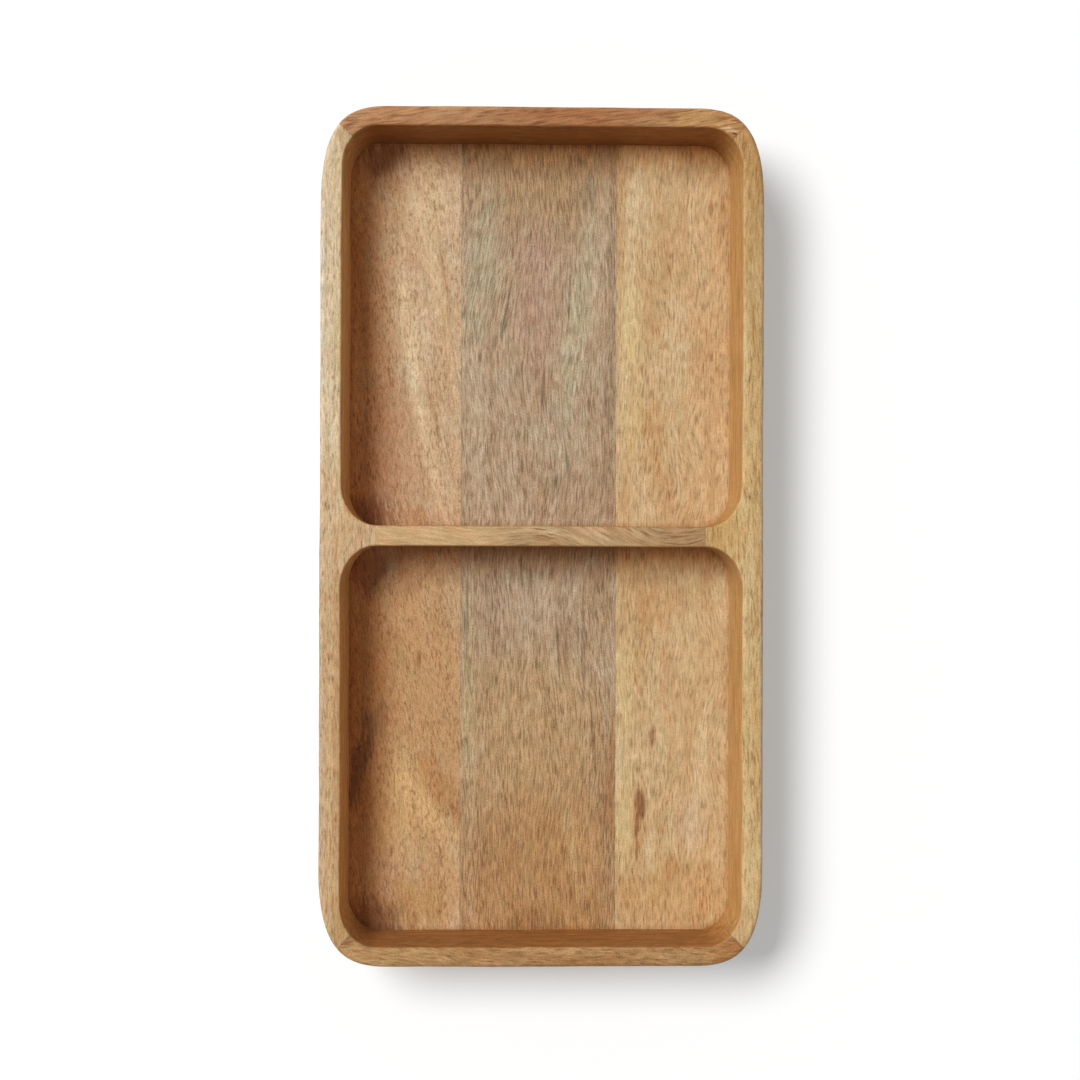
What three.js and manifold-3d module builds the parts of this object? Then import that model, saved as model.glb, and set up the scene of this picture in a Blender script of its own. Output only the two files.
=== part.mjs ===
// A two-compartment wooden serving tray: four mitred rails and a divider, glued onto a base of three boards.
// Millimetres, +X across the tray, +Y along it from front to rear, +Z up from the table it stands on.

import * as THREE from "three";
import { mergeVertices, toCreasedNormals } from "three/addons/utils/BufferGeometryUtils.js";
import Module from "manifold-3d";

const wasm = await Module();
wasm.setup();

// Driving dimensions of the whole tray
const trayLength = 300;
const trayWidth = 155;
const trayHeight = 30;
const baseThickness = 10;
const glueLine = 0.1;

// Rim, divider and pockets, measured at the rim
const sideWall = 7.5;
const endWall = 7;
const dividerWidth = 7.2;
const pocketCornerX = 12.5;
const pocketCornerY = 14.5;
const wallLean = 1.6;

// Outside corners: how far the curve reaches along each side, and how full it is there
const cornerReachX = 24;
const cornerReachY = 34;
const cornerFullnessX = 0.63;
const cornerFullnessY = 0.84;

// Edges softened by sanding
const rimOuterRound = 1.5;
const rimInnerRound = 0.7;
const baseRound = 2;

// Floor boards, from the left: the right one takes the rest of the width
const leftBoardWidth = 49;
const centreBoardWidth = 56;

// Rail stock left standing past the end of a pocket's corner curve
const stockAllowance = 0.3;

// Colour of the board that each piece was cut from, and the satin sheen of the oiled wood
const woodColours = {
  left_rail: 0xd4bc96,
  right_rail: 0xbe9b6b,
  rear_rail: 0xa8754e,
  front_rail: 0xa88256,
  divider: 0xb7966f,
  base_board_left: 0xbd946c,
  base_board_centre: 0xaf9274,
  base_board_right: 0xc39d71,
};
const woodRoughness = 0.5;

// How finely curves are drawn, and how far cutting bodies reach past what they cut
const outerCornerSteps = 16;
const pocketCornerSteps = 12;
const roundSteps = 4;
const cutMargin = 2;
const creaseAngle = Math.PI / 6;

// Sizes that follow from the ones above
const frameHeight = trayHeight - baseThickness - glueLine;
const railStock = Math.max(sideWall, endWall) + pocketCornerX + stockAllowance;
const mitreSetback = glueLine / Math.SQRT2;
const halfWidth = trayWidth / 2;
const halfLength = trayLength / 2;

// Counter-clockwise signs of the four corners of a plan outline
const corners = [[1, 1], [-1, 1], [-1, -1], [1, -1]];

// A solid for joining and cutting, from a closed geometry.
function solidFrom(geometry) {
  geometry.deleteAttribute("normal");
  geometry.deleteAttribute("uv");
  const merged = mergeVertices(geometry);
  return new wasm.Manifold(
    new wasm.Mesh({
      numProp: 3,
      vertProperties: Float32Array.from(merged.attributes.position.array),
      triVerts: Uint32Array.from(merged.index.array),
    }),
  );
}

// A drawable geometry from a solid, smooth over its curves and sharp at its arrises.
function geometryFrom(solid) {
  const { vertProperties, triVerts } = solid.getMesh();
  const geometry = new THREE.BufferGeometry();
  geometry.setAttribute("position", new THREE.BufferAttribute(vertProperties, 3));
  geometry.setIndex(new THREE.BufferAttribute(triVerts, 1));
  return toCreasedNormals(geometry, creaseAngle);
}

// A closed skin through level sections, lowest first, whose outlines have as many points as each other.
function loft(sections) {
  const pointCount = sections[0].outline.length;
  const positions = sections.flatMap(({ z, outline }) => outline.flatMap(({ x, y }) => [x, y, z]));
  const topStart = (sections.length - 1) * pointCount;
  const triangles = [];
  for (let start = 0; start < topStart; start += pointCount) {
    for (let i = 0; i < pointCount; i++) {
      const here = start + i;
      const next = start + ((i + 1) % pointCount);
      triangles.push(here, next, next + pointCount);
      triangles.push(here, next + pointCount, here + pointCount);
    }
  }
  for (const [a, b, c] of THREE.ShapeUtils.triangulateShape(sections[0].outline, [])) {
    triangles.push(a, c, b);
    triangles.push(topStart + a, topStart + b, topStart + c);
  }
  const geometry = new THREE.BufferGeometry();
  geometry.setAttribute("position", new THREE.Float32BufferAttribute(positions, 3));
  geometry.setIndex(triangles);
  return solidFrom(geometry);
}

// An upright prism over a plan polygon, tall enough to pass through the whole tray.
function prism(planPoints) {
  const shape = new THREE.Shape(planPoints.map(([x, y]) => new THREE.Vector2(x, y)));
  const depth = trayHeight + 2 * cutMargin;
  const geometry = new THREE.ExtrudeGeometry(shape, { depth, bevelEnabled: false });
  return solidFrom(geometry.translate(0, 0, -cutMargin));
}

// An upright prism over a plan rectangle.
function strip(xLow, xHigh, yLow, yHigh) {
  return prism([[xLow, yLow], [xHigh, yLow], [xHigh, yHigh], [xLow, yHigh]]);
}

// Steps of a quarter round: how far each has risen, and how far it has turned in.
function quarterRound(radius) {
  return Array.from({ length: roundSteps + 1 }, (_, step) => {
    const angle = (Math.PI / 2) * (step / roundSteps);
    return { rise: radius * Math.sin(angle), turn: radius * (1 - Math.cos(angle)) };
  });
}

// The tray's outside in plan, drawn in by an inset. Each corner is one full-bodied curve.
function trayOutline(inset) {
  const x = halfWidth - inset;
  const y = halfLength - inset;
  const reachX = cornerReachX - inset;
  const reachY = cornerReachY - inset;
  return corners.flatMap(([sideX, sideY]) => {
    const curve = [
      new THREE.Vector2(sideX * x, sideY * (y - reachY)),
      new THREE.Vector2(sideX * x, sideY * (y - reachY * (1 - cornerFullnessY))),
      new THREE.Vector2(sideX * (x - reachX * (1 - cornerFullnessX)), sideY * y),
      new THREE.Vector2(sideX * (x - reachX), sideY * y),
    ];
    const inOrder = sideX === sideY ? curve : curve.reverse();
    return new THREE.CubicBezierCurve(...inOrder).getPoints(outerCornerSteps);
  });
}

// One pocket in plan at a height in the frame, widened by a flare where its rim is rounded over.
// The rail walls lean in towards the floor, and the divider stands straight.
function pocketOutline(end, height, flare) {
  const lean = wallLean * (1 - height / frameHeight);
  const x = halfWidth - sideWall - lean + flare;
  const far = halfLength - endWall - lean + flare;
  const near = dividerWidth / 2 - flare;
  const middle = (end * (far + near)) / 2;
  const reach = (far - near) / 2;
  const radiusX = pocketCornerX - lean + flare;
  const radiusY = pocketCornerY - lean + flare;
  return corners.flatMap(([sideX, sideY], quarter) => {
    const start = (quarter * Math.PI) / 2;
    const centreX = sideX * (x - radiusX);
    const centreY = middle + sideY * (reach - radiusY);
    const arc = new THREE.EllipseCurve(centreX, centreY, radiusX, radiusY, start, start + Math.PI / 2);
    return arc.getPoints(pocketCornerSteps);
  });
}

// The frame before its pockets are cut, with its upper outside edge rounded over.
function frameBlank() {
  const sections = quarterRound(rimOuterRound).map(({ rise, turn }) => ({
    z: frameHeight - rimOuterRound + rise,
    outline: trayOutline(turn),
  }));
  sections.unshift({ z: 0, outline: trayOutline(0) });
  return loft(sections);
}

// The body a router clears for one compartment: leaning walls, rounded corners and a softened rim.
function pocket(end) {
  const sections = quarterRound(rimInnerRound).map(({ rise, turn }) => {
    const height = frameHeight - rimInnerRound + rise;
    return { z: height, outline: pocketOutline(end, height, turn) };
  });
  const rim = pocketOutline(end, frameHeight, rimInnerRound);
  sections.unshift({ z: -cutMargin, outline: pocketOutline(end, -cutMargin, 0) });
  sections.push({ z: frameHeight + cutMargin, outline: rim });
  return loft(sections);
}

// The base before it is divided into boards, with its lower outside edge rounded.
function baseBlank() {
  const sections = quarterRound(baseRound).map(({ rise, turn }) => ({
    z: baseRound - rise,
    outline: trayOutline(turn),
  }));
  sections.reverse();
  sections.push({ z: baseThickness, outline: trayOutline(0) });
  return loft(sections);
}

// The stretch of frame that one long rail fills, between its two mitres. Side is -1 for left, 1 for right.
function sideRailStock(side) {
  const outer = halfWidth + cutMargin;
  const inner = halfWidth - railStock;
  const outerEnd = halfLength + cutMargin - mitreSetback;
  const innerEnd = halfLength - railStock - mitreSetback;
  return prism([
    [side * outer, -outerEnd],
    [side * outer, outerEnd],
    [side * inner, innerEnd],
    [side * inner, -innerEnd],
  ]);
}

// The stretch of frame that one short rail fills, between its two mitres. End is -1 for front, 1 for rear.
function endRailStock(end) {
  const outer = halfLength + cutMargin;
  const inner = halfLength - railStock;
  const outerEnd = halfWidth + cutMargin - mitreSetback;
  const innerEnd = halfWidth - railStock - mitreSetback;
  return prism([
    [-outerEnd, end * outer],
    [outerEnd, end * outer],
    [innerEnd, end * inner],
    [-innerEnd, end * inner],
  ]);
}

// The strip of frame between the lugs of the long rails, from which the divider is cut.
function dividerStock() {
  const reach = halfWidth - railStock - glueLine;
  const halfStock = dividerWidth / 2 + pocketCornerY;
  return strip(-reach, reach, -halfStock, halfStock);
}

// One piece of wood as a named mesh.
function piece(name, solid) {
  const material = new THREE.MeshStandardMaterial({
    color: woodColours[name],
    roughness: woodRoughness,
    metalness: 0,
  });
  const mesh = new THREE.Mesh(geometryFrom(solid), material);
  mesh.name = name;
  return mesh;
}

// The frame stands on the base, a glue line above it. Both pockets are cut through all of its pieces.
function trayFrame() {
  const routed = frameBlank().subtract(pocket(1)).subtract(pocket(-1));
  const frame = new THREE.Group();
  frame.position.z = baseThickness + glueLine;
  frame.add(
    piece("left_rail", routed.intersect(sideRailStock(-1))),
    piece("right_rail", routed.intersect(sideRailStock(1))),
    piece("rear_rail", routed.intersect(endRailStock(1))),
    piece("front_rail", routed.intersect(endRailStock(-1))),
    piece("divider", routed.intersect(dividerStock())),
  );
  return frame;
}

// Three boards laid side by side along the tray, with a glue line at each seam.
function trayBase() {
  const blank = baseBlank();
  const outside = halfWidth + cutMargin;
  const leftSeam = leftBoardWidth - halfWidth;
  const rightSeam = leftSeam + centreBoardWidth;
  const boards = [
    ["base_board_left", -outside, leftSeam - glueLine / 2],
    ["base_board_centre", leftSeam + glueLine / 2, rightSeam - glueLine / 2],
    ["base_board_right", rightSeam + glueLine / 2, outside],
  ];
  const end = halfLength + cutMargin;
  const base = new THREE.Group();
  for (const [name, xLow, xHigh] of boards) {
    base.add(piece(name, blank.intersect(strip(xLow, xHigh, -end, end))));
  }
  return base;
}

const tray = new THREE.Group();
tray.add(trayBase(), trayFrame());

export default tray;
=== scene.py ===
"""A two-compartment wooden tray, seen from above on white, with the figure of each of its boards."""

import math
from dataclasses import dataclass

import bmesh
import bpy
from mathutils import Euler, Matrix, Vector, noise


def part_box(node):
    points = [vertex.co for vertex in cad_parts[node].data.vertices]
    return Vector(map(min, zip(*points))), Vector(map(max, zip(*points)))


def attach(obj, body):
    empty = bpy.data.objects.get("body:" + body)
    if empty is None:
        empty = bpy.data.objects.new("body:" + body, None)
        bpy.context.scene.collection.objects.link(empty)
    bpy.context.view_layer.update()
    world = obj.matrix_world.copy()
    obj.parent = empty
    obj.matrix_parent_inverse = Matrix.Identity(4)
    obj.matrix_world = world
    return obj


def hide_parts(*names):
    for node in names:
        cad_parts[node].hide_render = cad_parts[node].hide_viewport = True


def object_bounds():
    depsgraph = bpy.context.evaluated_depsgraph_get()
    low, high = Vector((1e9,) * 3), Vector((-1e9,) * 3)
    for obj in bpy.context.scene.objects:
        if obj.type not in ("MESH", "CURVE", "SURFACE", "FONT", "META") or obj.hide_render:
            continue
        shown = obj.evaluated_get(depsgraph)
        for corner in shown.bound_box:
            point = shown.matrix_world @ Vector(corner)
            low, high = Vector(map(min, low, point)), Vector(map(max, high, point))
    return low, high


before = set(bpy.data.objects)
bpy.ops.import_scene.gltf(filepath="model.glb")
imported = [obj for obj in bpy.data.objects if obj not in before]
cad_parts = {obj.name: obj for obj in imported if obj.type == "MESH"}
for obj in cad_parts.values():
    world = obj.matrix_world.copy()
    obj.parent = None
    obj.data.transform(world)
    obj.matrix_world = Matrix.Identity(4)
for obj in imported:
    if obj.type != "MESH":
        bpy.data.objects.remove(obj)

mm = 0.001

# Sizes that the frame gives
cad_low, cad_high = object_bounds()
half_width = cad_high.x
half_length = cad_high.y
rim_height = cad_high.z
floor_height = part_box("base_board_centre")[1].z
lug_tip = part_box("right_rail")[0].x
half_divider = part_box("divider")[1].y

# Sizes of the rim and pockets, as the solids have them
side_wall = 7.5 * mm
end_wall = 7 * mm
pocket_corner_x = 12.5 * mm
pocket_corner_y = 14.5 * mm
wall_lean = 1.6 * mm
corner_reach_x = 24 * mm
corner_reach_y = 34 * mm
corner_fullness_x = 0.63
corner_fullness_y = 0.84
rim_outer_round = 1.5 * mm
rim_inner_round = 0.7 * mm
base_round = 2 * mm

# Joints are drawn together to a hairline, and hand sanding leaves the edges a little uneven
hairline = 0.03 * mm
sway_size = 32 * mm
sway_reach = 0.22 * mm
ripple_size = 10 * mm
ripple_reach = 0.07 * mm
ripple_offset = Vector((7, 3, 5))
sanding_seed = 1

# How finely the surfaces are divided, and the angle from which an edge is sharp
step = 2.5 * mm
lug_steps = 3
arc_steps = 14
corner_steps = 20
round_steps = 5
wall_steps = 5
top_steps = 5
halvings = 40
corner_lead = 2 * step
sharp_from = math.radians(35)

# Sizes that follow from the ones above
rim_foot = floor_height + hairline
frame_height = rim_height - rim_foot
arc_centre_x = half_width - side_wall - pocket_corner_x
arc_centre_far = half_length - end_wall - pocket_corner_y
mitre_offset = half_length - half_width


# Shared curves in plan, in the quarter where x and y are positive

def outer_corner(t, inset):
    """A point on the outside corner, from the long side at t = 0 to the short side at t = 1."""
    x = half_width - inset
    y = half_length - inset
    reach_x = corner_reach_x - inset
    reach_y = corner_reach_y - inset
    points = (
        Vector((x, y - reach_y)),
        Vector((x, y - reach_y * (1 - corner_fullness_y))),
        Vector((x - reach_x * (1 - corner_fullness_x), y)),
        Vector((x - reach_x, y)),
    )
    weights = ((1 - t) ** 3, 3 * t * (1 - t) ** 2, 3 * t * t * (1 - t), t ** 3)
    return sum((point * weight for point, weight in zip(points, weights)), Vector((0, 0)))


def pocket_arc(angle, lean, flare):
    """A point on a pocket's corner beside the outside of the tray, at an angle from +X."""
    radius_x = pocket_corner_x - lean + flare
    radius_y = pocket_corner_y - lean + flare
    x = arc_centre_x + radius_x * math.cos(angle)
    y = arc_centre_far + radius_y * math.sin(angle)
    return Vector((x, y))


def crossing(curve, low, high, side):
    """Where a corner curve meets the mitre, by halving. Side is -1 for a long rail and 1 for a short one."""
    target = mitre_offset + side * hairline / 2
    for _ in range(halvings):
        middle = (low + high) / 2
        point = curve(middle)
        if point.y - point.x < target:
            low = middle
        else:
            high = middle
    return low


def between(start, end, count):
    """Points on a straight stretch, without its end."""
    return [start.lerp(end, i / count) for i in range(count)]


def mirrored(half, axis):
    """A whole run of points from the half of it beyond the middle."""
    other = [Vector((-p.x, p.y)) if axis == "x" else Vector((p.x, -p.y)) for p in half[1:]]
    return other[::-1] + half


# The long rails: a straight bar with a lug at its middle and half a corner at each end

def long_inner(lean, flare):
    """Half of a long rail's inner line, from the middle of its lug to the mitre."""
    wall = half_width - side_wall - lean + flare
    near = half_divider - flare
    radius_x = pocket_corner_x - lean + flare
    radius_y = pocket_corner_y - lean + flare
    lug_corner = Vector((lug_tip, near))
    points = between(Vector((lug_tip, 0)), lug_corner, lug_steps)
    points.append(lug_corner)
    for i in range(arc_steps):
        angle = math.pi / 2 * (i / arc_steps - 1)
        x = arc_centre_x + radius_x * math.cos(angle)
        y = near + radius_y * (1 + math.sin(angle))
        points.append(Vector((x, y)))
    straight_steps = round((arc_centre_far - half_divider - pocket_corner_y) / step)
    points += between(Vector((wall, near + radius_y)), Vector((wall, arc_centre_far)), straight_steps)
    last = crossing(lambda angle: pocket_arc(angle, lean, flare), 0, math.pi / 2, -1)
    points += [pocket_arc(last * i / arc_steps, lean, flare) for i in range(arc_steps + 1)]
    return points


def long_outer(inset):
    """Half of a long rail's outer line, with a point for each one of the inner line."""
    last = crossing(lambda t: outer_corner(t, inset), 0, 1, -1)
    corner_start = half_length - corner_reach_y
    guide = long_inner(0, 0)
    turn = next(i for i, point in enumerate(guide) if point.y > corner_start - corner_lead)
    points = [Vector((half_width - inset, point.y)) for point in guide[:turn]]
    start = points[-1].y
    straight = corner_start - start
    curve = (outer_corner(last, inset) - outer_corner(0, inset)).length
    rest = len(guide) - turn
    for i in range(1, rest + 1):
        way = (straight + curve) * i / rest
        if way < straight:
            points.append(Vector((half_width - inset, start + way)))
        else:
            points.append(outer_corner(last * (way - straight) / curve, inset))
    return points


# The short rails: a straight bar with half a corner at each end

def short_inner(lean, flare):
    """Half of a short rail's inner line, from its middle to the mitre."""
    wall = half_length - end_wall - lean + flare
    points = between(Vector((0, wall)), Vector((arc_centre_x, wall)), round(arc_centre_x / step))
    last = crossing(lambda angle: pocket_arc(angle, lean, flare), 0, math.pi / 2, 1)
    for i in range(arc_steps + 1):
        points.append(pocket_arc(math.pi / 2 + (last - math.pi / 2) * i / arc_steps, lean, flare))
    return points


def short_outer(inset):
    """Half of a short rail's outer line, with a point for each one of the inner line."""
    last = crossing(lambda t: outer_corner(t, inset), 0, 1, 1)
    corner_start = half_width - corner_reach_x
    guide = short_inner(0, 0)
    turn = next(i for i, point in enumerate(guide) if point.x > corner_start - corner_lead)
    points = [Vector((point.x, half_length - inset)) for point in guide[:turn]]
    start = points[-1].x
    straight = corner_start - start
    curve = (outer_corner(last, inset) - outer_corner(1, inset)).length
    rest = len(guide) - turn
    for i in range(1, rest + 1):
        way = (straight + curve) * i / rest
        if way < straight:
            points.append(Vector((start + way, half_length - inset)))
        else:
            points.append(outer_corner(1 + (last - 1) * (way - straight) / curve, inset))
    return points


# From lines to solid pieces

def quarter_round(radius):
    """Steps of a quarter round: how far each has risen, and how far it has turned in."""
    angles = [math.pi / 2 * i / round_steps for i in range(round_steps + 1)]
    return [(radius * math.sin(angle), radius * (1 - math.cos(angle))) for angle in angles]


def sanded(point):
    """A point moved a little sideways, as far as hand sanding strays from the drawn line there."""
    sway = noise.noise_vector(point / sway_size) * sway_reach
    ripple = noise.noise_vector(point / ripple_size + ripple_offset) * ripple_reach
    return point + Vector((sway.x + ripple.x, sway.y + ripple.y, 0))


def rail_rings(inner, outer, axis):
    """A rail's cross-sections along its length, each a closed ring from the foot of the inner wall round."""
    lines = []
    for i in range(wall_steps):
        height = (frame_height - rim_inner_round) * i / wall_steps
        lines.append((inner(wall_lean * (1 - height / frame_height), 0), rim_foot + height))
    for rise, turn in quarter_round(rim_inner_round):
        height = frame_height - rim_inner_round + rise
        lines.append((inner(wall_lean * (1 - height / frame_height), turn), rim_foot + height))
    inner_edge = lines[-1][0]
    outer_edge = outer(rim_outer_round)
    for i in range(1, top_steps):
        across = [a.lerp(b, i / top_steps) for a, b in zip(inner_edge, outer_edge)]
        lines.append((across, rim_height))
    for rise, turn in reversed(quarter_round(rim_outer_round)):
        lines.append((outer(turn), rim_height - rim_outer_round + rise))
    for i in range(wall_steps - 1, -1, -1):
        lines.append((outer(0), rim_foot + (frame_height - rim_outer_round) * i / wall_steps))
    columns = [[p.to_3d() + Vector((0, 0, z)) for p in mirrored(line, axis)] for line, z in lines]
    return [list(ring) for ring in zip(*columns)]


def board_rings(seam_low, seam_high):
    """A base board's level outlines from its floor down, between its seams or as far as the tray reaches."""
    def outline(inset):
        corner = [outer_corner(i / corner_steps, inset) for i in range(corner_steps + 1)]
        right = corner if seam_high is None else [Vector((seam_high, half_length - inset))]
        left = corner[::-1] if seam_low is None else [Vector((-seam_low, half_length - inset))]
        rear = right + [Vector((-p.x, p.y)) for p in left]
        return rear + [Vector((p.x, -p.y)) for p in reversed(rear)]

    levels = [(outline(0), floor_height)]
    levels += [(outline(turn), base_round - rise) for rise, turn in quarter_round(base_round)]
    return [[p.to_3d() + Vector((0, 0, z)) for p in line] for line, z in levels]


def divider_rings():
    """The divider's cross-sections along its length, each from the foot of one wall to that of the other."""
    wall_height = frame_height - rim_inner_round
    half = [Vector((half_divider, rim_foot + wall_height * i / wall_steps)) for i in range(wall_steps)]
    for rise, turn in quarter_round(rim_inner_round):
        half.append(Vector((half_divider - turn, rim_foot + wall_height + rise)))
    profile = half + [Vector((-p.x, p.y)) for p in reversed(half)]
    reach = lug_tip - hairline
    count = round(2 * reach / step)
    stations = [reach * (2 * i / count - 1) for i in range(count + 1)]
    return [[Vector((x, p.x, p.y)) for p in profile] for x in stations]


# How much of each point of a ring belongs to a pocket's wall, fading out over the rounded rim
pocket_wall = [1] * wall_steps + [1 - i / round_steps for i in range(round_steps + 1)]


def piece_of_wood(node, rings, walls, flip):
    """A closed skin over rings of points, standing for a node of the frame."""
    mesh = bpy.data.meshes.new(node + "_timber")
    form = bmesh.new()
    wall_layer = form.verts.layers.float.new("pocket_wall")
    rows = []
    for ring in rings:
        row = []
        for i, point in enumerate(ring):
            vertex = form.verts.new(sanded(Vector((point.x * flip[0], point.y * flip[1], point.z))))
            vertex[wall_layer] = walls[i] if i < len(walls) else 0
            row.append(vertex)
        rows.append(row)
    count = len(rows[0])
    for row, following in zip(rows, rows[1:]):
        for i in range(count):
            j = (i + 1) % count
            form.faces.new((row[i], row[j], following[j], following[i]))
    form.faces.new(rows[0][::-1])
    form.faces.new(rows[-1])
    bmesh.ops.recalc_face_normals(form, faces=form.faces)
    form.to_mesh(mesh)
    form.free()
    mesh.shade_smooth()
    mesh.set_sharp_from_angle(angle=sharp_from)
    mesh.materials.append(wood(node + "_wood", timbers[node]))
    piece = bpy.data.objects.new(node + "_timber", mesh)
    bpy.context.scene.collection.objects.link(piece)
    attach(piece, "root")
    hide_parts(node)


# Nodes for the materials

class Shader:
    """Adds nodes to a node tree, joined to each other by their sockets."""

    def __init__(self, owner):
        owner.use_nodes = True
        self.tree = owner.node_tree
        self.tree.nodes.clear()

    def node(self, kind, inputs, **settings):
        made = self.tree.nodes.new(kind)
        for key, value in settings.items():
            setattr(made, key, value)
        for key, value in inputs.items():
            if isinstance(value, bpy.types.NodeSocket):
                self.tree.links.new(value, made.inputs[key])
            else:
                made.inputs[key].default_value = value
        return made

    def math(self, operation, *values):
        return self.node("ShaderNodeMath", dict(enumerate(values)), operation=operation).outputs[0]

    def vector(self, operation, *values):
        return self.node("ShaderNodeVectorMath", dict(enumerate(values)), operation=operation).outputs[0]

    def length(self, vector):
        return self.node("ShaderNodeVectorMath", {0: vector}, operation="LENGTH").outputs["Value"]

    def parts(self, vector):
        return self.node("ShaderNodeSeparateXYZ", {0: vector}).outputs

    def joined(self, x, y, z):
        return self.node("ShaderNodeCombineXYZ", {0: x, 1: y, 2: z}).outputs[0]

    def noise(self, place, size, detail=2):
        scaled = self.vector("DIVIDE", place, size)
        return self.node("ShaderNodeTexNoise", {"Vector": scaled, "Scale": 1, "Detail": detail}).outputs[0]

    def span(self, value, low, high, to_low=0, to_high=1):
        inputs = {"Value": value, "From Min": low, "From Max": high, "To Min": to_low, "To Max": to_high}
        return self.node("ShaderNodeMapRange", inputs, interpolation_type="SMOOTHSTEP").outputs[0]

    def mix(self, share, first, second, blend="MIX"):
        inputs = {0: share, 6: first, 7: second}
        return self.node("ShaderNodeMix", inputs, data_type="RGBA", blend_type=blend).outputs[2]

    def ramp(self, value, colours, low, high):
        made = self.node("ShaderNodeValToRGB", {"Fac": value})
        stops = made.color_ramp.elements
        while len(stops) < len(colours):
            stops.new(1)
        for i, colour in enumerate(colours):
            stops[i].position = low + (high - low) * i / (len(colours) - 1)
            stops[i].color = colour
        return made.outputs[0]


def linear(code):
    """A colour written as a hex code, in linear light."""
    channels = [int(code[i:i + 2], 16) / 255 for i in (1, 3, 5)]
    return [c / 12.92 if c <= 0.04045 else ((c + 0.055) / 1.055) ** 2.4 for c in channels] + [1]


# What tells one board from another. Places and lengths are in millimetres in the tray's frame.

@dataclass
class Patch:
    """An oval of other colour with a ragged edge, turned counter-clockwise by its lean in degrees."""
    colour: str
    x: float
    y: float
    half_x: float
    half_y: float
    lean: float = 0
    strength: float = 0.6


@dataclass
class Bend:
    """An oval stretch in which the fibres lean, in degrees, down to the right where it is positive."""
    x: float
    y: float
    half_x: float
    half_y: float
    fibre_lean: float


@dataclass
class Calm:
    """An oval stretch in which the pores show less."""
    x: float
    y: float
    half_x: float
    half_y: float
    strength: float


@dataclass
class Pores:
    """Open pores: size across the grain and along it, how dark they get, and how soon they do."""
    across: float
    along: float
    strength: float
    dark_at: float = 0.7


@dataclass
class Timber:
    """One board: how its grain runs and leans, how lively it is, and where its colours lie."""
    grain: str
    drift: tuple
    tones: tuple
    pore_tint: str
    lines: Pores
    flecks: Pores
    lean: float = 0
    wander: float = 2
    streak: float = 0.06
    speckle: float = 0.06
    mottle: float = 0.05
    # Whether a floor board gets painted shade along the pocket walls
    painted_floor_shade: bool = False
    patches: tuple = ()
    bends: tuple = ()
    calms: tuple = ()


# Places on a board. A noise's size is across the fibres, along them and in depth, or along x, y and z.

oval_depth = 400
broad_wander_size = (40, 75, 40)
broad_wander = 4
close_wander_size = (6, 18, 6)
close_wander = 0.4


def tray_place(shader):
    """A point's place in the tray, in millimetres."""
    spot = shader.node("ShaderNodeTexCoord", {}).outputs["Object"]
    return shader.node("ShaderNodeVectorMath", {0: spot, "Scale": 1 / mm}, operation="SCALE").outputs[0]


def oval(shader, place, form, turn=0):
    """Distance from the middle of an oval form, 1 at its edge, the same at every height."""
    settings = {
        "Vector": place,
        "Location": (form.x, form.y, 0),
        "Rotation": (0, 0, math.radians(turn)),
        "Scale": (form.half_x, form.half_y, oval_depth),
    }
    turned = shader.node("ShaderNodeMapping", settings, vector_type="TEXTURE").outputs[0]
    return shader.length(turned)


def fibre_place(shader, timber, place):
    """A point's place among the fibres: across them, along them and in depth."""
    x, y, z = shader.parts(place)
    across, along = (x, y) if timber.grain == "y" else (y, x)
    drifted = shader.vector("ADD", shader.joined(across, along, z), timber.drift)
    broad = shader.noise(drifted, broad_wander_size, detail=1)
    close = shader.noise(drifted, close_wander_size, detail=1)
    bent = shader.math("MULTIPLY_ADD", along, math.tan(math.radians(timber.lean)), across)
    bent = shader.math("MULTIPLY_ADD", broad, broad_wander * timber.wander, bent)
    bent = shader.math("MULTIPLY_ADD", close, close_wander * timber.wander, bent)
    for bend in timber.bends:
        slope = shader.span(oval(shader, place, bend), 1, 0, 0, math.tan(math.radians(bend.fibre_lean)))
        middle = bend.y if timber.grain == "y" else bend.x
        bent = shader.math("MULTIPLY_ADD", shader.math("SUBTRACT", along, middle), slope, bent)
    return shader.vector("ADD", shader.joined(bent, along, z), timber.drift)


# Changes of colour: by a tint, or to both sides by parts of red, green and blue

swing_low = 0.25
swing_high = 0.75
darker_and_warmer = (0.85, 1, 1.35)
greener = (-1, 0.5, 0.8)


def tinted(shader, colour, share, tint):
    """A colour multiplied by a tint, as far as a share says."""
    return shader.mix(1, colour, shader.mix(share, [1, 1, 1, 1], tint), "MULTIPLY")


def swung(shader, colour, value, amount, parts):
    """A colour that swings to both sides with a noise value."""
    low = [1 - amount * part for part in parts] + [1]
    high = [1 + amount * part for part in parts] + [1]
    swing = shader.mix(shader.span(value, swing_low, swing_high), low, high)
    return shader.mix(1, colour, swing, "MULTIPLY")


# Patches, which begin at their rim and are full at their core. Two noises make their edges ragged.

patch_rim = 1.2
patch_core = 0.4
ragged_reach = 7
broad_rag_size = (3, 14, 3)
broad_rag = 1.6
close_rag_size = (0.9, 7, 0.9)
close_rag = 1.2
mean_rag = (broad_rag + close_rag) / 2


def patched(shader, colour, place, fibres, patches):
    """A board's colour with its patches laid over it, ragged along the fibres."""
    broad_edge = shader.noise(fibres, broad_rag_size)
    close_edge = shader.noise(fibres, close_rag_size, detail=1)
    raggedness = shader.math("MULTIPLY_ADD", close_edge, close_rag, -mean_rag)
    raggedness = shader.math("MULTIPLY_ADD", broad_edge, broad_rag, raggedness)
    for patch in patches:
        ragged = min(1, ragged_reach / min(patch.half_x, patch.half_y))
        distance = shader.math("MULTIPLY_ADD", raggedness, ragged, oval(shader, place, patch, patch.lean))
        share = shader.span(distance, patch_rim, patch_core, 0, patch.strength)
        colour = shader.mix(share, colour, linear(patch.colour))
    return colour


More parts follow.
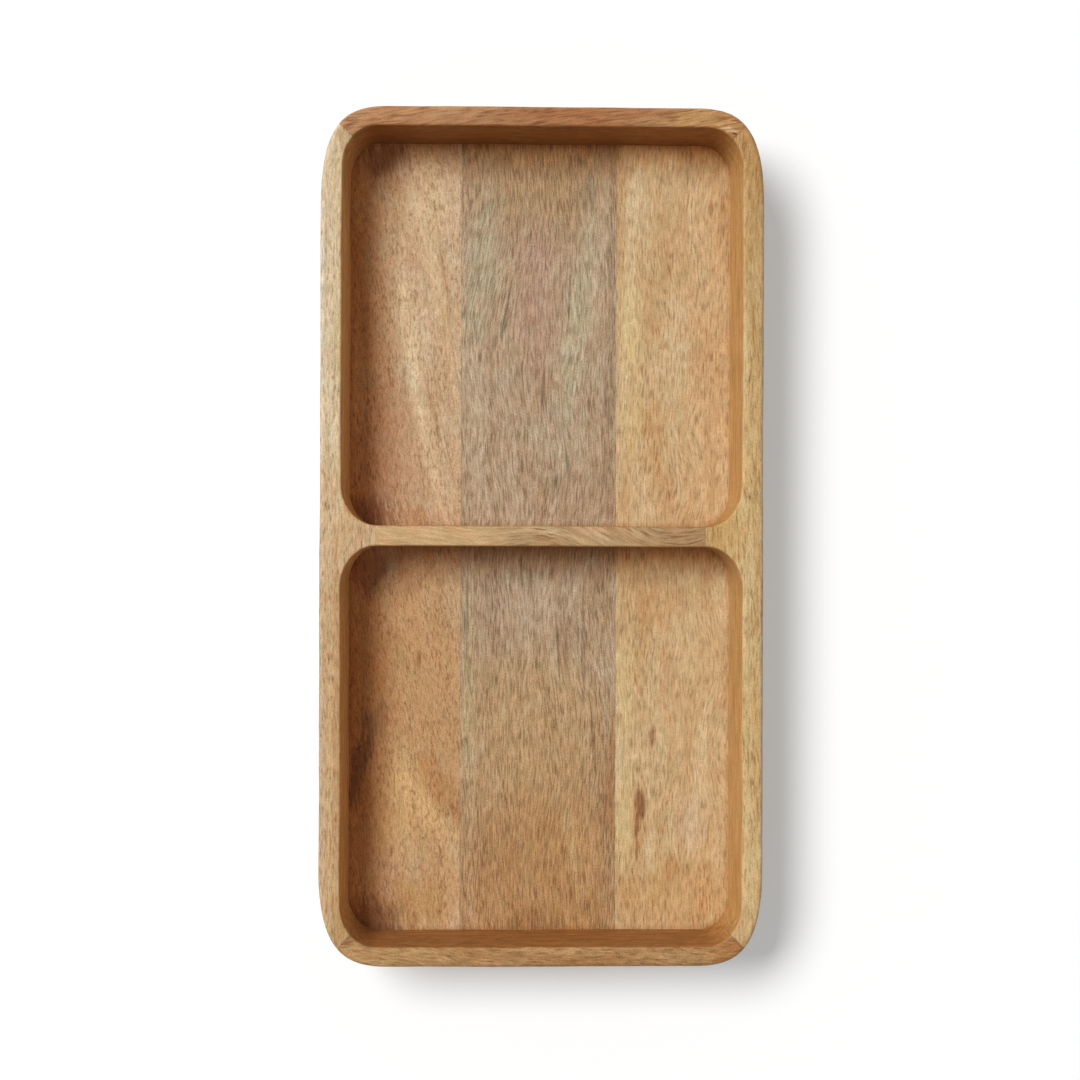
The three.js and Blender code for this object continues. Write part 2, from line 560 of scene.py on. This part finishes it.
# Feet of the pocket walls, in millimetres from the middle of the tray
side_foot = (half_width - side_wall - wall_lean) / mm
rear_foot = (half_length - end_wall - wall_lean) / mm
divider_foot = half_divider / mm

# Painted light and shade on the pocket walls: one tone for each side by how it is lit, running into each
# other round the corners
wall_light_and_shade_tones = {
    "left": linear("#dfa463"),
    "right": linear("#b98a51"),
    "front": linear("#966130"),
    "divider": linear("#9c683a"),
    "rear": linear("#9b602a"),
    # The rear wall grows darker towards its foot: painted shade
    "rear_foot": linear("#774620"),
}
rear_foot_shade_height = 26
corner_blend = 12
wall_figure_size = (1.2, 20, 1.4)
wall_figure = 0.24
wall_cover = 0.92

# Glue showing at the mitres, here and there, and less on the walls
glue_tint = linear("#7a5a3c")
glue_reach = 0.7
glue_core = 0.1
glue_lost_on_wall = 0.7
glue_stretch = (14, 14, 14)
glue_from = 0.35
glue_to = 0.65
glue_strength = 0.4


def painted_wall_light_and_shade(shader, place, past_mitre):
    """The painted light and shade of the pocket wall at a place, darker towards the foot of the rear wall.
    """
    x, y, z = shader.parts(place)
    reach_x = shader.math("ABSOLUTE", x)
    reach_y = shader.math("ABSOLUTE", y)
    side = shader.mix(shader.math("GREATER_THAN", x, 0), wall_light_and_shade_tones["left"], wall_light_and_shade_tones["right"])
    rear = shader.mix(shader.span(z, rear_foot_shade_height, 0), wall_light_and_shade_tones["rear"], wall_light_and_shade_tones["rear_foot"])
    end = shader.mix(shader.math("GREATER_THAN", y, 0), wall_light_and_shade_tones["front"], rear)
    tone = shader.mix(shader.span(past_mitre, -corner_blend, corner_blend), side, end)
    beside_divider = shader.math("LESS_THAN", reach_y, divider_foot + pocket_corner_y / mm)
    on_divider = shader.math("MULTIPLY", shader.span(reach_x, side_foot, lug_tip / mm), beside_divider)
    return shader.mix(on_divider, tone, wall_light_and_shade_tones["divider"])


def painted_walls_and_glue(shader, colour, place, fibres, wall):
    """A rail's or the divider's colour with painted light and shade on its pocket walls, and a glue line at
    each mitre.
    """
    x, y, _ = shader.parts(place)
    reach_difference = shader.math("SUBTRACT", shader.math("ABSOLUTE", y), shader.math("ABSOLUTE", x))
    past_mitre = shader.math("SUBTRACT", reach_difference, mitre_offset / mm)
    # Painted light and shade on the pocket wall, streaked along the grain, covering most of the wall
    tone = painted_wall_light_and_shade(shader, place, past_mitre)
    tone = swung(shader, tone, shader.noise(fibres, wall_figure_size), wall_figure, darker_and_warmer)
    colour = shader.mix(shader.math("MULTIPLY", wall, wall_cover), colour, tone)
    on_rim = shader.math("MULTIPLY_ADD", wall, -glue_lost_on_wall, 1)
    near_mitre = shader.span(shader.math("ABSOLUTE", past_mitre), glue_reach, glue_core)
    glue = shader.math("MULTIPLY", near_mitre, on_rim)
    chance = shader.noise(place, glue_stretch, detail=1)
    patchy = shader.span(chance, glue_from, glue_to, 0, glue_strength)
    return tinted(shader, colour, shader.math("MULTIPLY", glue, patchy), glue_tint)


# Painted shade on the floor, which fades in just below its surface
shade_fade_from = 0.3
shade_fade_full = 0.1

# Painted shade, warm and dark, along the left wall and, starting and thinning differently, along the wall
# behind
painted_shade_tint = (1.1, 0.71, 0.38, 1)
painted_shade_reach = 20
painted_shade_full = 2
painted_shade_start_behind = 7.5
painted_shade_slope_behind = 0.8
painted_shade_corner = 4
painted_shade_ripple_size = (6, 9, 6)
painted_shade_ripple = 5

# Painted shade in the crease along the foot of every wall
crease_shade_tint = linear("#d4b896")
crease_shade_corner = 12
crease_shade_width = 2.4
crease_shade_strength = 0.45


def painted_shade_share(shader, place):
    """How much painted shade lies at a place on the floor."""
    x, y, _ = shader.parts(place)
    in_rear = shader.math("GREATER_THAN", y, 0)
    wall_behind = shader.math("MULTIPLY_ADD", in_rear, rear_foot + divider_foot, -divider_foot)
    to_wall = shader.math("SUBTRACT", wall_behind, y)
    behind = shader.math("MULTIPLY_ADD", to_wall, painted_shade_slope_behind, painted_shade_start_behind)
    beside = shader.math("ADD", x, side_foot)
    nearest = shader.math("SMOOTH_MIN", beside, behind, painted_shade_corner)
    ripple = shader.noise(place, painted_shade_ripple_size)
    uneven = shader.math("MULTIPLY_ADD", ripple, painted_shade_ripple, -painted_shade_ripple / 2)
    return shader.span(shader.math("ADD", nearest, uneven), painted_shade_reach, painted_shade_full)


def crease_shade_share(shader, place):
    """How dark the painted shade in the crease at the foot of the walls is at a place on the floor."""
    x, y, _ = shader.parts(place)
    pocket_middle = (rear_foot + divider_foot) / 2
    pocket_half = (rear_foot - divider_foot) / 2
    from_pocket = shader.math("SUBTRACT", shader.math("ABSOLUTE", y), pocket_middle)
    past_x = shader.math("SUBTRACT", shader.math("ABSOLUTE", x), side_foot - crease_shade_corner)
    past_y = shader.math("SUBTRACT", shader.math("ABSOLUTE", from_pocket), pocket_half - crease_shade_corner)
    outside_x = shader.math("MAXIMUM", past_x, 0)
    outside_y = shader.math("MAXIMUM", past_y, 0)
    round_corner = shader.length(shader.joined(outside_x, outside_y, 0))
    return shader.span(round_corner, crease_shade_corner - crease_shade_width, crease_shade_corner, 0, crease_shade_strength)


def painted_floor_shade(shader, colour, place):
    """A floor board's colour with painted shade: warmer and darker along the left wall and the wall behind,
    and dark in the crease at the walls' foot.
    """
    z = shader.parts(place)[2]
    on_floor = shader.span(z, floor_height / mm - shade_fade_from, floor_height / mm - shade_fade_full)
    # Painted shade, warm and dark, along the left wall and the wall behind
    colour = tinted(shader, colour, shader.math("MULTIPLY", painted_shade_share(shader, place), on_floor), painted_shade_tint)
    # Painted shade in the crease at the walls' foot
    crease = shader.math("MULTIPLY", crease_shade_share(shader, place), on_floor)
    return tinted(shader, colour, crease, crease_shade_tint)


# Pores: lines that run into each other, crowded here and there, and single flecks
line_from = 0.45
crowd_size = (5, 24, 5)
crowd_from = 0.3
crowd_to = 0.7
least_crowd = 0.58
fleck_rim = 0.5
fleck_core = 0.1
calm_rim = 1.1
calm_core = 0.7
pores_lost_on_wall = 0.75


def pore_lines(shader, fibres, pores):
    """Close lines of pores along the fibres, denser in some streaks than in others."""
    grain = shader.noise(fibres, (pores.across, pores.along, pores.across))
    crowd = shader.span(shader.noise(fibres, crowd_size, detail=1), crowd_from, crowd_to, least_crowd, 1)
    return shader.math("MULTIPLY", shader.span(grain, line_from, pores.dark_at, 0, pores.strength), crowd)


def pore_flecks(shader, fibres, pores):
    """Single pores along the fibres, each as dark as chance has it."""
    scaled = shader.vector("DIVIDE", fibres, (pores.across, pores.along, pores.across))
    cells = shader.node("ShaderNodeTexVoronoi", {"Vector": scaled, "Scale": 1}).outputs
    chance = shader.node("ShaderNodeSeparateColor", {0: cells["Color"]}).outputs[0]
    core = shader.span(cells["Distance"], fleck_rim, fleck_core, 0, pores.strength)
    return shader.math("MULTIPLY", core, chance)


def open_pores(shader, timber, place, fibres, wall):
    """How far a place lies in an open pore. Burnished walls and calm stretches show them less."""
    lines = pore_lines(shader, fibres, timber.lines)
    flecks = pore_flecks(shader, fibres, timber.flecks)
    off_wall = shader.math("MULTIPLY_ADD", wall, -pores_lost_on_wall, 1)
    pores = shader.math("MULTIPLY", shader.math("ADD", lines, flecks), off_wall)
    for calm in timber.calms:
        left_open = shader.span(oval(shader, place, calm), calm_rim, calm_core, 1, 1 - calm.strength)
        pores = shader.math("MULTIPLY", pores, left_open)
    return pores


# Bands, fibres, relief and sheen of every board. A streak is longer than the board's pore lines by a factor.
band_size = (7, 55, 7)
band_from = 0.3
band_to = 0.7
streak_width = 0.65
streak_length = 1.3
speckle_size = (0.5, 0.6, 0.5)
mottle_size = (2.2, 4.5, 2.2)
hue_size = (3, 9, 3)
hue_swing = 0.035
streak_relief = 0.3
relief_strength = 0.35
relief_depth = 0.06 * mm
dark_band_roughness = 0.52
pale_band_roughness = 0.46
pore_roughness = 0.2
specular_level = 0.25


def wood(name, timber):
    """The wood of one board: bands and patches of colour, pores, lively fibres and their relief."""
    material = bpy.data.materials.new(name)
    shader = Shader(material)
    place = tray_place(shader)
    fibres = fibre_place(shader, timber, place)
    wall = shader.node("ShaderNodeAttribute", {}, attribute_name="pocket_wall").outputs["Fac"]

    bands = shader.noise(fibres, band_size, detail=4)
    colour = shader.ramp(bands, [linear(tone) for tone in timber.tones], band_from, band_to)
    colour = patched(shader, colour, place, fibres, timber.patches)
    # Floors get painted shade along their walls; rails and the divider get painted light and shade on their
    # pocket walls
    if timber.painted_floor_shade:
        colour = painted_floor_shade(shader, colour, place)
    else:
        colour = painted_walls_and_glue(shader, colour, place, fibres, wall)
    pores = open_pores(shader, timber, place, fibres, wall)
    colour = tinted(shader, colour, shader.math("MINIMUM", pores, 1), linear(timber.pore_tint))

    streaks = shader.noise(fibres, (streak_width, streak_length * timber.lines.along, streak_width))
    colour = swung(shader, colour, streaks, timber.streak, darker_and_warmer)
    speckles = shader.noise(place, speckle_size)
    colour = swung(shader, colour, speckles, timber.speckle, darker_and_warmer)
    mottles = shader.noise(fibres, mottle_size)
    colour = swung(shader, colour, mottles, timber.mottle, darker_and_warmer)
    hues = shader.noise(fibres, hue_size, detail=3)
    colour = swung(shader, colour, hues, hue_swing, greener)

    relief = shader.math("MULTIPLY_ADD", pores, -1, shader.math("MULTIPLY", streaks, streak_relief))
    bump = shader.node(
        "ShaderNodeBump", {"Height": relief, "Strength": relief_strength, "Distance": relief_depth}
    )
    roughness = shader.span(bands, band_from, band_to, dark_band_roughness, pale_band_roughness)
    roughness = shader.math("MULTIPLY_ADD", pores, pore_roughness, roughness)
    surface = shader.node(
        "ShaderNodeBsdfPrincipled",
        {
            "Base Color": colour,
            "Roughness": roughness,
            "Specular IOR Level": specular_level,
            "Normal": bump.outputs[0],
        },
    )
    shader.node("ShaderNodeOutputMaterial", {"Surface": surface.outputs[0]})
    return material


# The boards. Patches are laid one over the other in the order in which they stand.

timbers = {
    "left_rail": Timber(
        grain="y", drift=(11, 240, 3), tones=("#c5aa82", "#d6bd98", "#e2d0ae"), pore_tint="#9c6e48",
        lines=Pores(0.6, 4, 0.5), flecks=Pores(1.0, 2.8, 0.4),
        streak=0.14, speckle=0.14, mottle=0.08,
        patches=(
            # Browner front half and lug
            Patch("#c6a174", -74, -70, 30, 105, strength=0.85),
            Patch("#c9a57a", -63, 0, 11, 14, strength=0.8),
            # Stripes along the rail, and its greyer outer edge
            Patch("#b5a084", -75.6, 92, 0.7, 26, strength=0.5),
            Patch("#dfc892", -71.2, 70, 0.8, 80, strength=0.4),
            Patch("#b9a07c", -72.4, 58, 0.6, 20, strength=0.5),
            Patch("#b98a58", -71.6, -70, 1.3, 80, strength=0.55),
            Patch("#c9baa1", -77.2, 75, 1.3, 75, strength=0.7),
            Patch("#b59f82", -77.2, -75, 1.3, 75, strength=0.7),
            # Darker ends at the mitres
            Patch("#b48d58", -69, -137, 9, 14, strength=0.7),
            Patch("#b08a5e", -68, 139, 5, 6, strength=0.5),
        ),
    ),
    "right_rail": Timber(
        grain="y", drift=(57, 910, 13), tones=("#bb9862", "#c9a877", "#d9bd8b"), pore_tint="#94602c",
        lines=Pores(0.6, 4.5, 0.55), flecks=Pores(1.0, 2.6, 0.3),
        streak=0.12, speckle=0.15, mottle=0.05,
        patches=(
            # Browner rear end, paler stretches, and the golden lug
            Patch("#b48850", 73, 134, 9, 20, strength=0.8),
            Patch("#d6bb82", 75, -85, 8, 62, strength=0.4),
            Patch("#d2b37a", 74, 25, 9, 44, strength=0.4),
            Patch("#c59d5c", 63, 0, 9, 14, strength=0.6),
            # Stripes along the rail, and its paler outer edge
            Patch("#d0b67e", 71.2, 45, 0.9, 60, strength=0.3),
            Patch("#d2ba82", 71.2, -75, 0.9, 50, strength=0.4),
            Patch("#cfb38b", 77.1, -20, 1.2, 140, strength=0.7),
            Patch("#c19058", 74.6, -75, 1.1, 40, strength=0.4),
            # Short dark lines
            Patch("#9c6230", 74.5, 20, 0.5, 9, strength=0.5),
            Patch("#9c6230", 75.5, -95, 0.5, 8, strength=0.5),
            Patch("#9c6230", 73.5, 75, 0.4, 7, strength=0.5),
        ),
    ),
    "rear_rail": Timber(
        grain="x", drift=(230, 77, 29), tones=("#9b663d", "#aa774d", "#bb8c60"), pore_tint="#87502a",
        lines=Pores(0.7, 6.5, 0.62), flecks=Pores(0.9, 4, 0.15), lean=-8,
        streak=0.16, speckle=0.15, mottle=0.08,
        patches=(
            # Paler ends and a redder middle
            Patch("#b58254", -52, 146, 18, 6, strength=0.6),
            Patch("#a36838", 12, 146, 20, 6, strength=0.5),
            Patch("#bd9059", 57, 146, 18, 8, strength=0.8),
            # Pale sliver with a dark fleck by the right mitre
            Patch("#d4b27e", 64.6, 142.6, 5.5, 1.1, -20, 0.8),
            Patch("#553418", 66.8, 140.9, 1.3, 0.5, -20, 0.9),
        ),
    ),
    "front_rail": Timber(
        grain="x", drift=(410, 350, 41), tones=("#986c3d", "#ad8354", "#c39d6e"), pore_tint="#85562a",
        lines=Pores(0.65, 4, 0.56), flecks=Pores(0.9, 2, 0.2), lean=4, wander=3,
        streak=0.16, speckle=0.2, mottle=0.1,
        patches=(
            # Paler left end, and browner right end
            Patch("#bd9564", -50, -146, 24, 8, strength=0.6),
            Patch("#a8703c", 66, -146, 8, 6, strength=0.6),
            Patch("#a4683a", 68.5, -142.7, 4, 1.5, strength=0.7),
        ),
    ),
    "divider": Timber(
        grain="x", drift=(620, 130, 53), tones=("#aa865b", "#b9976c", "#c9aa80"), pore_tint="#8a5d35",
        lines=Pores(0.62, 6, 0.6), flecks=Pores(0.9, 2.5, 0.15), lean=8,
        streak=0.16, speckle=0.15, mottle=0.08,
        patches=(
            # Pale calm left third, darker right end, and a pink streak between
            Patch("#caa576", -47, 0, 34, 12, strength=0.9),
            Patch("#a68258", 50, 0, 12, 12, strength=0.6),
            Patch("#c08f66", 18, 3, 17, 1, strength=0.5),
        ),
        bends=(
            Bend(22, 0, 46, 16, 24),
        ),
        calms=(
            Calm(-48, 0, 36, 14, 0.75),
        ),
    ),
    "base_board_left": Timber(
        grain="y", drift=(810, 20, 61), tones=("#bd986e", "#c8a782", "#d3b794"), pore_tint="#935f38",
        lines=Pores(0.58, 2.2, 0.54), flecks=Pores(0.9, 1.6, 0.15), lean=6, painted_floor_shade=True,
        streak=0.12, speckle=0.18, mottle=0.08,
        patches=(
            # Broad tones: warmer front half, paler rear end, browner stretch behind the divider
            Patch("#ba8d5b", -46, -66, 34, 80, strength=0.8),
            Patch("#d8bc90", -40.5, 122, 6, 24, 2, 0.55),
            Patch("#b88a64", -53, 32, 14, 28, strength=0.65),
            # Painted shadows in the corners by the left wall, each with a fading edge
            Patch("#8c5222", -57, 136, 11, 7, strength=0.6),
            Patch("#b27c48", -50, 127, 8, 6, strength=0.4),
            Patch("#74462a", -62, 8, 10, 8, strength=0.65),
            Patch("#aa7648", -48, 7, 14, 4, strength=0.45),
            Patch("#7c4a28", -61, -13, 9, 9, strength=0.5),
            Patch("#b07a4a", -50, -18, 9, 9, strength=0.4),
            # Pale slanting streaks in the rear compartment
            Patch("#d0ae88", -51, 75, 6, 12, strength=0.4),
            Patch("#dcc298", -48, 78, 3.6, 34, 8, 0.55),
            Patch("#dcc298", -41, 35, 3, 28, 11.5, 0.5),
            Patch("#e4cca4", -43.5, 46, 0.8, 20, 10, 0.35),
            Patch("#dcc196", -36, 84, 2.6, 28, 10, 0.5),
            # Thin dark lines between them
            Patch("#ab8058", -37.5, 42, 0.6, 20, 15, 0.5),
            Patch("#a98058", -36.5, 107, 0.5, 20, 8, 0.45),
            Patch("#a8845e", -29.8, 57, 0.5, 20, 10, 0.45),
            Patch("#ac845c", -33.5, 88, 0.4, 18, 9, 0.5),
            Patch("#ac845c", -41, 88, 0.4, 16, 8, 0.4),
            Patch("#a8805a", -33, 30, 0.4, 14, 12, 0.5),
            # Front end, with a painted shadow in its corner
            Patch("#cfa974", -48, -97, 11, 22, strength=0.6),
            Patch("#bd8f58", -31, -128, 7, 20, strength=0.5),
            Patch("#b3864c", -46, -133, 13, 10, strength=0.6),
            Patch("#70421c", -59, -138, 13, 9, strength=0.6),
            # A pale slanting streak with a brown one beside it
            Patch("#d4ae78", -40, -99, 5, 22, 35, 0.65),
            Patch("#ad7744", -35, -91, 5, 16, 30, 0.55),
            # A small knot, and the dark stain by the left wall
            Patch("#86582f", -43.5, -44.6, 0.8, 3.4, strength=0.6),
            Patch("#6b4a2c", -59.5, -67, 5.5, 8, -25, 0.3),
            Patch("#5e3e26", -64.2, -82, 4, 20, -14, 0.68),
        ),
    ),
    "base_board_centre": Timber(
        grain="y", drift=(140, 560, 71), tones=("#a68969", "#b39778", "#bea688"), pore_tint="#7a5b3a",
        lines=Pores(0.5, 5.5, 0.54, dark_at=0.63), flecks=Pores(0.9, 3, 0.14), wander=2.2, painted_floor_shade=True,
        streak=0.2, speckle=0.2, mottle=0.11,
        patches=(
            # Broad tones: warm front end, with painted shade browning the rear end and painted light in pale
            # strips before the rear rail and the divider
            Patch("#b28452", -1, -128, 40, 62, strength=0.85),
            Patch("#bd986a", -2, -70, 34, 34, strength=0.7),
            Patch("#ad895f", 0, 132, 34, 26, strength=0.7),
            Patch("#d0aa7a", 0, 141, 34, 7, strength=0.8),
            Patch("#c0a27e", 0, -7, 34, 6, strength=0.5),
            # Green, pink and pale stripes in the rear compartment, with grey spots and a paler stretch
            Patch("#b0a080", -21, 98, 7, 34, -6, 0.65),
            Patch("#b9927b", -1, 86, 9, 34, strength=0.45),
            Patch("#bcad8c", 13, 74, 5, 50, -7, 0.75),
            Patch("#7f7158", 17, 123, 3, 6, strength=0.4),
            Patch("#7f7158", 8, 40, 3, 6, strength=0.4),
            Patch("#7f7158", 6.4, 20, 3, 6, strength=0.4),
            Patch("#bca688", 6, 36, 16, 14, strength=0.5),
            # Paler and darker stretches, some of them along the seams
            Patch("#8f7457", 25.8, 70, 2.2, 60, strength=0.4),
            Patch("#b0957a", -16, -27, 6, 12, strength=0.45),
            Patch("#9f7b50", 21, -25, 8, 18, strength=0.5),
            Patch("#b8a278", -25.4, -58, 2.4, 52, strength=0.55),
            Patch("#c4a474", 12, -112, 2.2, 20, 5, 0.5),
            Patch("#c49a68", 16, -112, 6, 20, strength=0.4),
            Patch("#8c6238", 0, -138, 10, 5, strength=0.45),
            Patch("#937454", 10, -34, 5, 11, strength=0.45),
            Patch("#c4ac8c", -24, 40, 5, 9, strength=0.4),
            Patch("#bfae90", 19, 57, 5, 8, strength=0.4),
            Patch("#9c6c3f", 25, -91, 3.6, 28, strength=0.5),
            # Thin dark lines
            Patch("#7d6247", 16, -37, 0.9, 28, strength=0.5),
            Patch("#5f4a34", -26.9, -31, 0.4, 6, strength=0.7),
            Patch("#6f5c44", -26, -26, 0.6, 19, strength=0.5),
            Patch("#6a563f", -6.6, -14, 0.5, 9, 3, 0.55),
            Patch("#6a563f", -3, -16, 0.5, 10, 5, 0.5),
            Patch("#705840", 7, -44, 0.6, 13, 3, 0.55),
            Patch("#7a5836", 19.5, -72, 0.7, 13, 4, 0.55),
            Patch("#6f5a42", -12.4, 80, 0.7, 11, -9, 0.55),
            Patch("#6c5842", 1.2, 54, 0.7, 8, -5, 0.55),
            Patch("#6c5a44", 9.6, 29, 0.7, 9, 6, 0.55),
            Patch("#74604a", 10.4, 84, 0.6, 15, -4, 0.55),
            Patch("#76604a", 24, 54, 0.6, 13, -3, 0.5),
        ),
        bends=(
            Bend(-17, 95, 26, 60, -10),
            Bend(8, 40, 20, 36, 5),
            Bend(-13, 17, 20, 28, 12),
            Bend(10, -60, 26, 60, 5),
        ),
    ),
    "base_board_right": Timber(
        grain="y", drift=(330, 720, 83), tones=("#c19b6c", "#caaa7d", "#d5ba90"), pore_tint="#94663c",
        lines=Pores(0.6, 4.5, 0.54), flecks=Pores(0.95, 2.2, 0.14), painted_floor_shade=True,
        streak=0.13, speckle=0.14, mottle=0.11,
        patches=(
            # Painted light: pale strips that lift the shade before the rear rail and the divider
            Patch("#f2d29e", 40, 140, 14, 8, strength=0.85),
            Patch("#e2b880", 58, 141, 14, 6, strength=0.7),
            Patch("#e6c48e", 50, -7, 24, 6, strength=0.6),
            Patch("#dcb583", 32, -11, 6, 5, strength=0.5),
            # Mostly rear compartment: yellow along the seam, browner stripes, brown flecks by the wall
            Patch("#d8bf88", 32.5, 74, 4.5, 22, strength=0.6),
            Patch("#d6bb84", 33.5, 40, 4, 15, strength=0.5),
            Patch("#bf9464", 41.6, 78, 4, 18, strength=0.4),
            Patch("#bf8e58", 40.7, 31, 5, 20, strength=0.5),
            Patch("#cba074", 61.6, 49, 8, 46, strength=0.35),
            Patch("#c2a67c", 66, -60, 6, 80, strength=0.5),
            Patch("#be976a", 58, 98, 9, 13, strength=0.4),
            Patch("#9a6a42", 61.7, 118, 0.8, 4, strength=0.6),
            Patch("#a5764a", 66, 116, 1, 12, strength=0.5),
            # Front compartment: yellow along the seam, and brown stretches towards the divider
            Patch("#d6bb84", 31.3, -52, 4, 18, strength=0.6),
            Patch("#d4ba84", 31.3, -101, 4.5, 22, strength=0.6),
            Patch("#b98754", 37, -23, 5, 16, strength=0.55),
            Patch("#c79a70", 47, -52, 4, 15, strength=0.45),
            Patch("#be8d58", 44, -24, 8, 11, strength=0.45),
            # A small knot, and the large one with its tail
            Patch("#8e5f37", 40.7, -72, 1.2, 4.5, strength=0.7),
            Patch("#b9854f", 36.5, -101, 4, 13, strength=0.5),
            Patch("#7d4e2b", 36.4, -97, 1.9, 6.5, 6, 0.75),
            Patch("#855631", 35.4, -104, 0.9, 6, -5, 0.7),
            Patch("#8e6238", 35.3, -112, 0.5, 6, strength=0.7),
            # Paler stretches, and the browner front end
            Patch("#d1b88b", 55, -34, 5, 26, strength=0.45),
            Patch("#ccae92", 55, -102, 6, 10, strength=0.4),
            Patch("#c3945a", 50, -128, 24, 14, strength=0.5),
            Patch("#a8723f", 48, -119, 2.5, 6, strength=0.5),
        ),
        bends=(
            Bend(54, 28, 14, 26, 14),
            Bend(63, -62, 12, 40, -16),
        ),
    ),
}


def build_tray():
    noise.seed_set(sanding_seed)
    long_rail = rail_rings(long_inner, long_outer, "y")
    short_rail = rail_rings(short_inner, short_outer, "x")
    piece_of_wood("right_rail", long_rail, pocket_wall, (1, 1))
    piece_of_wood("left_rail", long_rail, pocket_wall, (-1, 1))
    piece_of_wood("rear_rail", short_rail, pocket_wall, (1, 1))
    piece_of_wood("front_rail", short_rail, pocket_wall, (1, -1))
    piece_of_wood("divider", divider_rings(), pocket_wall + pocket_wall[::-1], (1, 1))
    left_seam = (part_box("base_board_left")[1].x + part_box("base_board_centre")[0].x) / 2
    right_seam = (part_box("base_board_centre")[1].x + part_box("base_board_right")[0].x) / 2
    gap = hairline / 2
    piece_of_wood("base_board_left", board_rings(None, left_seam - gap), (), (1, 1))
    piece_of_wood("base_board_centre", board_rings(left_seam + gap, right_seam - gap), (), (1, 1))
    piece_of_wood("base_board_right", board_rings(right_seam + gap, None), (), (1, 1))


# Stage: white ground, one wide key light from the upper left, even light all round

ground_glow = 0.26
ground_colour = 0.765
ground_reach = 3
ground_drop = 0.2 * mm
ambient = 0.24
key_level = 0.795
to_key = Vector((-0.71, 0.46, 1)).normalized()
key_distance = 24
key_size = (16.2, 9.6)
white = [1, 1, 1, 1]


def shown_directly(shader):
    """1 for what the camera sees itself, in a reflection or through glass, else 0."""
    path = shader.node("ShaderNodeLightPath", {}).outputs
    seen = shader.math("MAXIMUM", path["Is Camera Ray"], path["Is Glossy Ray"])
    return shader.math("MAXIMUM", seen, path["Is Transmission Ray"])


def ground_material():
    """White, with a glow that only shows and doesn't light, and clear from below."""
    material = bpy.data.materials.new("white_ground")
    shader = Shader(material)
    matte = shader.node("ShaderNodeBsdfDiffuse", {"Color": [ground_colour] * 3 + [1]})
    glow = shader.node("ShaderNodeEmission", {"Strength": ground_glow})
    both = shader.node("ShaderNodeAddShader", {0: matte.outputs[0], 1: glow.outputs[0]})
    above = shader.node(
        "ShaderNodeMixShader", {0: shown_directly(shader), 1: matte.outputs[0], 2: both.outputs[0]}
    )
    from_below = shader.node("ShaderNodeNewGeometry", {}).outputs["Backfacing"]
    clear = shader.node("ShaderNodeBsdfTransparent", {})
    surface = shader.node("ShaderNodeMixShader", {0: from_below, 1: above.outputs[0], 2: clear.outputs[0]})
    shader.node("ShaderNodeOutputMaterial", {"Surface": surface.outputs[0]})
    return material


def build_ground():
    """A floor a hair below the tray, open under its flat, to let the underside be seen."""
    mesh = bpy.data.meshes.new("ground")
    quarter = [outer_corner(i / corner_steps, base_round) for i in range(corner_steps + 1)]
    half = quarter + [Vector((-p.x, p.y)) for p in quarter[::-1]]
    outline = half + [-p for p in half]
    count = len(outline)
    points = [(p.x * k, p.y * k, -ground_drop) for k in (1, ground_reach / half_width) for p in outline]
    sides = [(i, (i + 1) % count) for i in range(count)]
    mesh.from_pydata(points, [], [(i, i + count, j + count, j) for i, j in sides])
    mesh.materials.append(ground_material())
    ground = bpy.data.objects.new("ground", mesh)
    bpy.context.scene.collection.objects.link(ground)


def build_light():
    """A wide key light, under which white level ground shows as its level says, and an evenly white room."""
    lamp = bpy.data.lights.new("key", "AREA")
    lamp.shape = "ELLIPSE"
    lamp.size, lamp.size_y = key_size
    lamp.energy = key_level * (math.pi * key_distance) ** 2 / to_key.z
    key = bpy.data.objects.new("key", lamp)
    key.location = to_key * key_distance
    key.rotation_euler = to_key.to_track_quat("Z", "Y").to_euler()
    bpy.context.scene.collection.objects.link(key)

    world = bpy.data.worlds.new("white_room")
    shader = Shader(world)
    room = shader.node("ShaderNodeBackground", {"Color": white, "Strength": ambient})
    backdrop = shader.node("ShaderNodeBackground", {"Color": white, "Strength": 1})
    surface = shader.node(
        "ShaderNodeMixShader", {0: shown_directly(shader), 1: room.outputs[0], 2: backdrop.outputs[0]}
    )
    shader.node("ShaderNodeOutputWorld", {"Surface": surface.outputs[0]})
    bpy.context.scene.world = world


# Camera: straight above, a little left of the middle and turned a trace

camera_place = Vector((-25.9, -4.3, 600)) * mm
camera_turn = Euler((math.radians(0.29), math.radians(-1.02), math.radians(0.18)))
focal_length = 54.6
sensor_width = 36
view_shift = 0.04


def build_camera():
    lens = bpy.data.cameras.new("above")
    lens.lens = focal_length
    lens.sensor_width = sensor_width
    lens.shift_x = view_shift
    camera = bpy.data.objects.new("above", lens)
    camera.location = camera_place
    camera.rotation_euler = camera_turn
    bpy.context.scene.collection.objects.link(camera)
    bpy.context.scene.camera = camera


build_tray()
build_ground()
build_light()
build_camera()
bpy.context.scene.view_settings.view_transform = "Standard"
